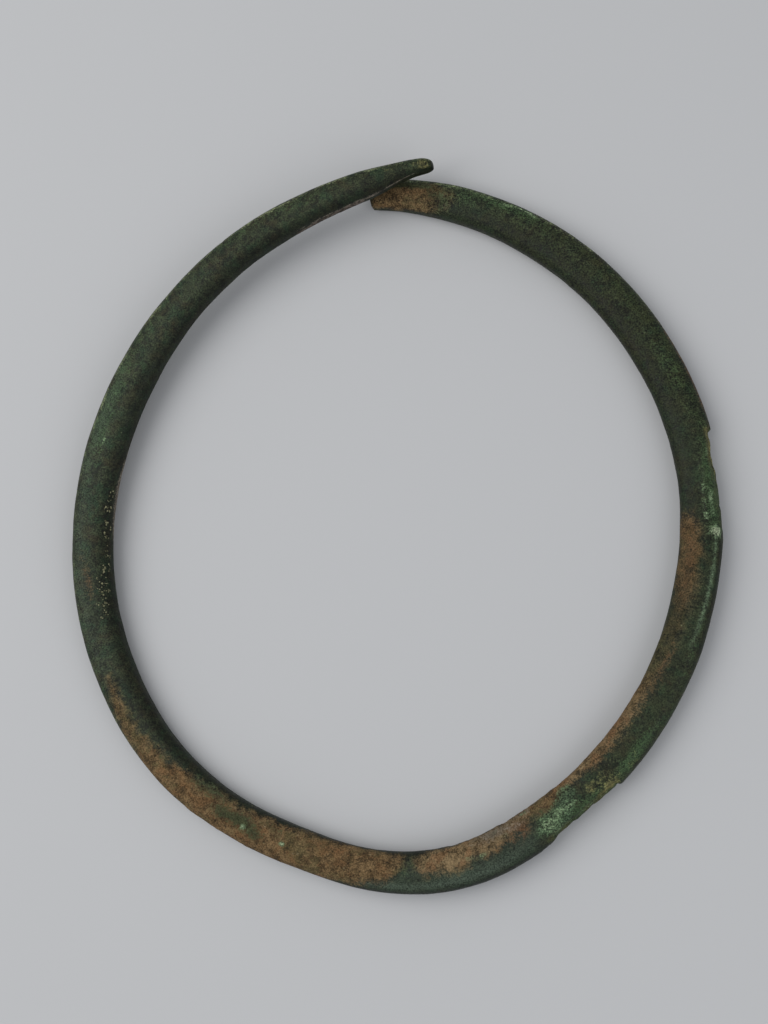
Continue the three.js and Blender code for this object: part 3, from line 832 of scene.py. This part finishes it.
class Finish:
    """A material, built node by node."""

    def __init__(self, name):
        self.material = bpy.data.materials.new(name)
        self.material.use_nodes = True
        self.tree = self.material.node_tree
        self.tree.nodes.clear()

    def node(self, kind, settings, sockets, result=0):
        """Adds a node, fills in its settings and sockets, and gives back one result."""
        made = self.tree.nodes.new("ShaderNode" + kind)
        for name, value in settings.items():
            setattr(made, name, value)
        by_name = {socket.identifier: socket for socket in made.inputs}
        for name, value in sockets.items():
            if isinstance(value, Wire):
                self.tree.links.new(value.socket, by_name[name])
            else:
                by_name[name].default_value = value
        if not made.outputs:
            return None
        results = {socket.identifier: socket for socket in made.outputs}
        return Wire(self, results[result] if isinstance(result, str) else made.outputs[result])

    def mark(self, name, result="Fac"):
        """A mark of the piece's mesh."""
        return self.node("Attribute", {"attribute_name": name}, {}, result)

    def clouds(self, size, layer_count, roughness=0.6):
        """Cloudy values from 0 to 1 that change over a size in mm."""
        sockets = {"Vector": self.mark("place", "Vector"), "Scale": 1 / size,
                   "Detail": layer_count - 1.0, "Roughness": roughness}
        return self.node("TexNoise", {}, sockets)

    def grains(self, size, result="Distance"):
        """The distance to the nearest of grains about size apart, as a share of that size."""
        sockets = {"Vector": self.mark("place", "Vector"), "Scale": 1 / size}
        return self.node("TexVoronoi", {}, sockets, result)

    def between(self, value, low, high, least=0.0, most=1.0):
        """A smooth rise from least to most while value goes from low to high."""
        sockets = {"Value": value, "From Min": low, "From Max": high, "To Min": least,
                   "To Max": most}
        return self.node("MapRange", {"interpolation_type": "SMOOTHSTEP"}, sockets)

    def mixed(self, share, first, second):
        """Two colours mixed: first where share is 0, second where it is 1."""
        first, second = (c if isinstance(c, Wire) else shade(*c) for c in (first, second))
        sockets = {"Factor_Float": share, "A_Color": first, "B_Color": second}
        return self.node("Mix", {"data_type": "RGBA"}, sockets, "Result_Color")

    def coated(self, colour, *coats):
        """A colour under coats that are each given as a share and a colour."""
        for share, coat in coats:
            colour = self.mixed(share, colour, coat)
        return colour

    def brightened(self, colour, value):
        return self.node("VectorMath", {"operation": "SCALE"}, {"Vector": colour, "Scale": value})

    def surface(self, colour, roughness, bump, depth, level=0.5, metallic=0.0):
        """Ends the finish with its shader. depth is the bump's full height in mm."""
        normal = self.node("Bump", {}, {"Height": bump, "Distance": depth * MM})
        shader = self.node("BsdfPrincipled", {}, {
            "Base Color": colour, "Roughness": roughness, "Normal": normal, "Metallic": metallic,
            "Specular IOR Level": level})
        return self.ended(shader)

    def ended(self, shader):
        self.node("OutputMaterial", {}, {"Surface": shader})
        return self.material


class Weathered(Finish):
    """A finish with the noise that the skin and all that has settled on it share."""

    def __init__(self, name):
        super().__init__(name)
        self.slow, self.drifts = self.clouds(4.5, 3), self.clouds(2.2, 3)
        self.hues, self.mid = self.clouds(1.5, 4), self.clouds(0.9, 4, 0.65)
        self.fine, self.dust = self.clouds(0.35, 4, 0.7), self.clouds(0.14, 2)
        self.speckle = self.fine * 0.65 + self.dust * 0.35
        self.near = self.between(self.grains(0.42), 0.1, 0.42, 1, 0)
        self.kind = self.grains(0.42, "Color")
        self.band = self.mark("band")

    def ragged(self, mark, low, high, most=1.0, speckle_share=2.0, mid_share=1.2):
        """A mark with its edge broken up, as a share from 0 to most."""
        amount = self.mark(mark)
        noise = (self.speckle - 0.5) * speckle_share + (self.mid - 0.5) * mid_share
        return self.between(amount + noise * self.between(amount, 0, 0.25), low, high, 0, most)


def bare_skin(f):
    chipped = f.between(f.drifts * 0.7 + f.fine * 0.3, 0.46, 0.58, 0, 0.7)
    loose = f.near * (1 - f.band * 0.8)
    skin = f.coated(
        (26, 32, 21),
        (f.between(f.mid * 0.4 + f.fine * 0.6, 0.4, 0.6), (60, 68, 48)),
        (f.between(f.hues, 0.52, 0.64, 0, 0.6), (38, 62, 42)),
        (f.between(f.hues, 0.36, 0.48, 0.55, 0), (56, 50, 33)),
        (f.between(f.slow, 0.42, 0.62, 0, 0.35), (44, 58, 41)),
        (f.mark("olive") * f.between(f.mid, 0.38, 0.6, 0.4, 0.85), (38, 43, 22)),
        (f.ragged("moss", 0.2, 1.3, 0.8), (56, 76, 48)),
        (f.band * 0.7, (46, 56, 44)),
        # Painted highlight: pale streaks along the bottom band and the left arm.
        (f.mark("sheen") * 0.5, (68, 79, 67)),
        (f.ragged("chip", 0.2, 1.2, 0.9), (66, 80, 53)),
        (f.mark("chip") * chipped, (72, 68, 38)),
        # Light line along the outer edge: partly wear and partly painted highlight.
        (f.ragged("rim", 0.25, 1.35, 0.75, 3.2, 1.8), (120, 129, 94)),
        (f.ragged("worn", 0.3, 1.2, 0.85, 2.4), (112, 108, 68)),
        (f.ragged("rusty", 0.3, 1.1, 0.7, 2.6), (88, 62, 44)),
    )
    return f.coated(
        # Painted shade darkens the skin on the arms' inner sides and some edges.
        f.brightened(skin, 1 - f.mark("shady") * 0.38),
        (loose * (f.kind < 0.25) * 0.4, (22, 27, 18)),
        (loose * (f.kind > 0.96) * 0.3, (84, 96, 74)),
        (f.mark("pit") * 0.5, (20, 22, 16)),
    )


def settled_earth(f):
    brown = f.coated(
        (74, 58, 38),
        (f.between(f.mid * 0.6 + f.speckle * 0.4, 0.38, 0.62), (115, 93, 64)),
        (f.between(f.hues, 0.48, 0.6, 0, 0.55), (107, 79, 51)),
        (f.between(f.drifts * 0.6 + f.fine * 0.4, 0.5, 0.62, 0, 0.65), (74, 71, 46)),
    )
    tan = f.coated(
        (86, 71, 49),
        (f.between(f.mid * 0.5 + f.speckle * 0.5, 0.38, 0.62), (128, 109, 80)),
        (f.between(f.hues, 0.5, 0.62, 0, 0.5), (122, 90, 62)),
    )
    return f.coated(
        brown,
        (f.mark("tan"), tan),
        (f.ragged("rusty", 0.2, 1.1, 0.6), (96, 60, 40)),
        (f.near * (f.kind < 0.2) * 0.35, (54, 45, 30)),
        (f.near * (f.kind > 0.88) * 0.4, (152, 136, 105)),
    )


def weathered_finish(name, depth, level):
    """The skin's finish under all that has settled on it. depth and level are for surface."""
    f = Weathered(name)
    settled = f.ragged("earth", 0.05, 1.05, 1, 1.4, 0.9) * f.mark("thick")
    bloom = f.ragged("bloom", 0.15, 1.25, 0.85, 2.2)
    pale = f.ragged("pale", 0.4, 1.35, 0.9, 1.8, 1.6)
    # Pale ridge line: partly a corroded edge and partly painted highlight.
    seam = f.mark("seam") * f.between(f.fine, 0.38, 0.6, 0.4, 0.85)
    lone = f.between(f.grains(0.7), 0.04, 0.14, 1, 0) * (f.grains(0.7, "Color") < 0.22)
    lone = lone * (1 - f.band) * f.between(f.drifts, 0.44, 0.56)
    powder = f.between(f.speckle, 0.4, 0.62)
    colour = f.coated(
        bare_skin(f),
        (settled, settled_earth(f)),
        # Painted reflected light along the left tip's lower side, with real pale grey spots.
        (f.ragged("frayed", 0.1, 0.9, 0.9, 2.4), (110, 102, 90)),
        (f.ragged("mossy", 0.2, 0.9, 0.85, 2.8), f.mixed(f.fine, (22, 32, 21), (74, 84, 58))),
        (bloom, f.mixed(powder, (54, 71, 51), (80, 100, 74))),
        (pale, f.mixed(f.ragged("pale", 0.9, 1.7), (108, 128, 96), (152, 165, 134))),
        (seam, (98, 117, 91)),
        (lone * 0.55, (124, 128, 96)),
    )
    grainy = f.mark("grainy")
    swing = 3.4 + grainy * (2 - settled * 1.4) - settled * 1.5 - f.band * 0.6
    broad = (f.mid - 0.5) * (0.8 + grainy * 0.6) + (f.drifts - 0.5) * 0.7
    light = 1 + (f.dust - 0.5) * swing + broad * (1 - settled * 0.5)
    colour = f.brightened(colour, light.at_least(0.12))
    rough = f.between(f.fine, 0.35, 0.65, 0.48, 0.66) - f.band * 0.06
    rough = rough + settled * 0.3 + pale * 0.2 + bloom * 0.2 + f.mark("chip") * 0.15
    coarse = settled * 0.6 + bloom * 0.5 + 0.5
    bump = (f.mid * 0.3 + f.fine * 0.5 + f.dust * 0.35) * coarse + pale * 0.25
    return f.surface(colour, rough, bump, depth, level)


def grit_finish():
    f = Finish("pale_grit")
    fine, dust = f.clouds(0.5, 4, 0.7), f.clouds(0.12, 3)
    pinkish = f.mixed(f.between(fine, 0.4, 0.6), (60, 54, 48), (106, 96, 88))
    yellowish = f.mixed(f.between(fine, 0.4, 0.6), (82, 82, 60), (138, 136, 106))
    colour = f.mixed(f.mark("gritty"), pinkish, yellowish)
    colour = f.brightened(colour, f.between(dust, 0.25, 0.75, 0.8, 1.2))
    rough = f.between(fine, 0.3, 0.7, 0.8, 1)
    return f.surface(colour, rough, fine * 0.6 + dust * 0.4, 0.08, 0.2)


def bronze_finish():
    f = Finish("old_bronze")
    mid, fine = f.clouds(1.4, 4), f.clouds(0.3, 3)
    colour = f.mixed(f.between(mid, 0.38, 0.62), (92, 58, 34), (150, 108, 66))
    colour = f.mixed(f.between(fine, 0.55, 0.7, 0, 0.6), colour, (58, 50, 36))
    return f.surface(colour, f.between(fine, 0.3, 0.7, 0.4, 0.7), fine, 0.04, metallic=0.8)


# Putting the bracelet together

BEND_TURNS = (35, 55)  # where a bend starts and ends


def bend(piece, arm):
    """Works out the places where an arm leaves the back, and bakes the piece's placement into its
    mesh.
    """
    sign = -1 if arm == "left_arm" else 1
    start, end = (middle_line(sign * turn) - CENTRE for turn in BEND_TURNS)
    start[0] * MM
    start[1] * MM
    end[0] * MM
    end[1] * MM
    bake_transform(piece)


patina = weathered_finish("green_patina", 0.07, 0.2)
brown = weathered_finish("brown_earth", 0.09, 0.15)
tan = weathered_finish("tan_earth", 0.09, 0.15)
malachite = weathered_finish("pale_green_malachite", 0.1, 0.2)
grit = grit_finish()
bronze = bronze_finish()

for side in ("left", "right"):
    piece = cast(f"patina_skin_{side}", *skin(side), patina)
    bend(piece, f"{side}_arm")
    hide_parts(f"patina_{side}_arm", "patina_back")
    piece = cast(f"bronze_rod_{side}", *bronze_core(side), bronze)
    bend(piece, f"{side}_arm")
    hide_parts(f"core_{side}_arm", "core_back")

GROWTHS = [
    # Name, outline, finish, slot, bodies, nodes that it stands for, thickness, the width over
    # which it rises, how ragged its edge is, the share of grains (0 for a crust), how bare it is.
    ("earth_right_end", RIGHT_END_EARTH, brown, "earth", ["right_arm"], ["earth_on_right_end"],
     0.09, 0.8, 0.35, 0, 0.1),
    ("earth_right_arm", RIGHT_ARM_EARTH, brown, "earth", ["back", "right_arm"],
     ["earth_on_right_arm"], 0.08, 0.9, 0.3, 0, 0.05),
    ("earth_lower_right", LOWER_RIGHT_EARTH, brown, "pale_earth", ["back"],
     ["earth_at_lower_right"], 0.08, 0.7, 0.35, 0, 0.2),
    ("earth_tan", TAN_EARTH, tan, "pale_earth", ["back"], ["tan_earth_at_bottom"],
     0.09, 0.7, 0.35, 0, 0.15),
    ("earth_pale", PALE_EARTH, tan, "pale_earth", ["back"], ["pale_earth_at_bottom"],
     0.1, 0.8, 0.35, 0, 0.1),
    ("earth_left", LEFT_EARTH, brown, "earth", ["back", "left_arm"],
     ["earth_at_bottom", "earth_at_bottom_left", "earth_on_lower_left"], 0.09, 0.9, 0.4, 0, 0.15),
    ("malachite_upper_chip", UPPER_CHIP_GROWTH, malachite, "malachite", ["right_arm"],
     ["malachite_in_upper_chip"], 0.07, 0.5, 0.3, 0, 0.3),
    ("malachite_lower_chip", LOWER_CHIP_GROWTH, malachite, "malachite", ["back", "right_arm"],
     ["malachite_in_lower_chip"], 0.07, 0.4, 0.2, 0, 0.2),
    ("malachite_bloom", LOWER_BLOOM, malachite, "malachite", ["back"],
     ["malachite_bloom_lower"], 0.1, 0.5, 0.3, 0, 0.2),
    ("malachite_right_rim", RIGHT_RIM_GROWTH, malachite, "malachite", ["right_arm"],
     ["malachite_on_right_rim"], 0.05, 0.4, 0.3, 0, 0.5),
    ("malachite_left_side", LEFT_SIDE_GROWTH, malachite, "malachite", ["left_arm"],
     ["malachite_on_left_side"], 0.05, 0.4, 0.3, 0, 0.6),
    ("grit_inside", INSIDE_GRIT, grit, "grit", ["left_arm"], ["grit_inside_left"],
     0.08, 0.3, 0.2, 0.8, 0),
    ("grit_under_tip", TIP_GRIT, grit, "grit", ["left_arm"], ["grit_under_left_tip"],
     0.06, 0.3, 0.15, 0, 0.2),
]

for name, outline, finish, slot, bodies, nodes, *build in GROWTHS:
    piece = cast(name, *growth(outline, *build), finish)
    if len(bodies) == 2:
        bend(piece, bodies[1])
    else:
        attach(piece, bodies[0])
    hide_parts(*nodes)

# Floor, lamps and camera

ROOM_COLOUR, ROOM_STRENGTH = (0.95, 0.97, 1, 1), 0.45
FLOOR_CORNERS = [(-4, -4, 0), (4, -4, 0), (4, 4, 0), (-4, 4, 0)]  # in m
FADE_FROM, FADE_TO = 0.16, 0.42  # m from the middle, where the floor fades into the room


def floor():
    mesh = bpy.data.meshes.new("floor")
    mesh.from_pydata(FLOOR_CORNERS, [], [(0, 1, 2, 3)])
    f = Finish("pale_floor")
    near = f.node("BsdfPrincipled", {}, {"Base Color": shade(198, 199, 201), "Roughness": 0.9,
                                         "Specular IOR Level": 0.1})
    far = f.node("Emission", {}, {"Color": ROOM_COLOUR, "Strength": ROOM_STRENGTH})
    place = f.node("NewGeometry", {}, {}, "Position")
    away = f.node("VectorMath", {"operation": "LENGTH"}, {"Vector": place}, "Value")
    rays = ("Is Camera Ray", "Is Glossy Ray", "Is Transmission Ray")
    faded = f.between(away, FADE_FROM, FADE_TO) * sum(f.node("LightPath", {}, {}, r) for r in rays)
    shader = f.node("MixShader", {}, {"Fac": faded, "Shader": near, "Shader_001": far})
    mesh.materials.append(f.ended(shader))
    placed("floor", mesh)


def lamp(name, place, size, power, colour):
    """A round lamp that faces the bracelet."""
    light = bpy.data.lights.new(name, "AREA")
    light.shape, light.size, light.energy, light.color = "DISK", size, power, colour
    made = placed(name, light)
    made.location = place
    made.rotation_euler = (-Vector(place)).to_track_quat("-Z", "Y").to_euler()


floor()
lamp("window", (-0.172, 0.04, 0.26), 0.33, 0.5, (1, 0.99, 0.965))
lamp("far_window", (0.222, -0.15, 0.225), 0.25, 0.226, (0.97, 0.98, 1))

world = bpy.data.worlds.new("room")
world.use_nodes = True
background = world.node_tree.nodes["Background"]
background.inputs["Color"].default_value = ROOM_COLOUR
background.inputs["Strength"].default_value = ROOM_STRENGTH
bpy.context.scene.world = world

# The camera stands where the photo's did, as worked out from the photo.
camera = bpy.data.cameras.new("camera")
camera.lens, camera.sensor_width = 50, 36
camera_object = placed("camera", camera)
camera_place = Vector((33.587, -21.747, 136.85)) * MM
view_right = Vector((0.97083, 0, -0.23974))
view_up = Vector((0.03823, 0.98720, 0.15482))
view_back = view_right.cross(view_up)
camera_object.matrix_world = (
    Matrix.Translation(camera_place)
    @ Matrix((view_right, view_up, view_back)).transposed().to_4x4()
)
camera.clip_start = 0.005
bpy.context.scene.camera = camera_object
bpy.context.scene.view_settings.view_transform = "Standard"
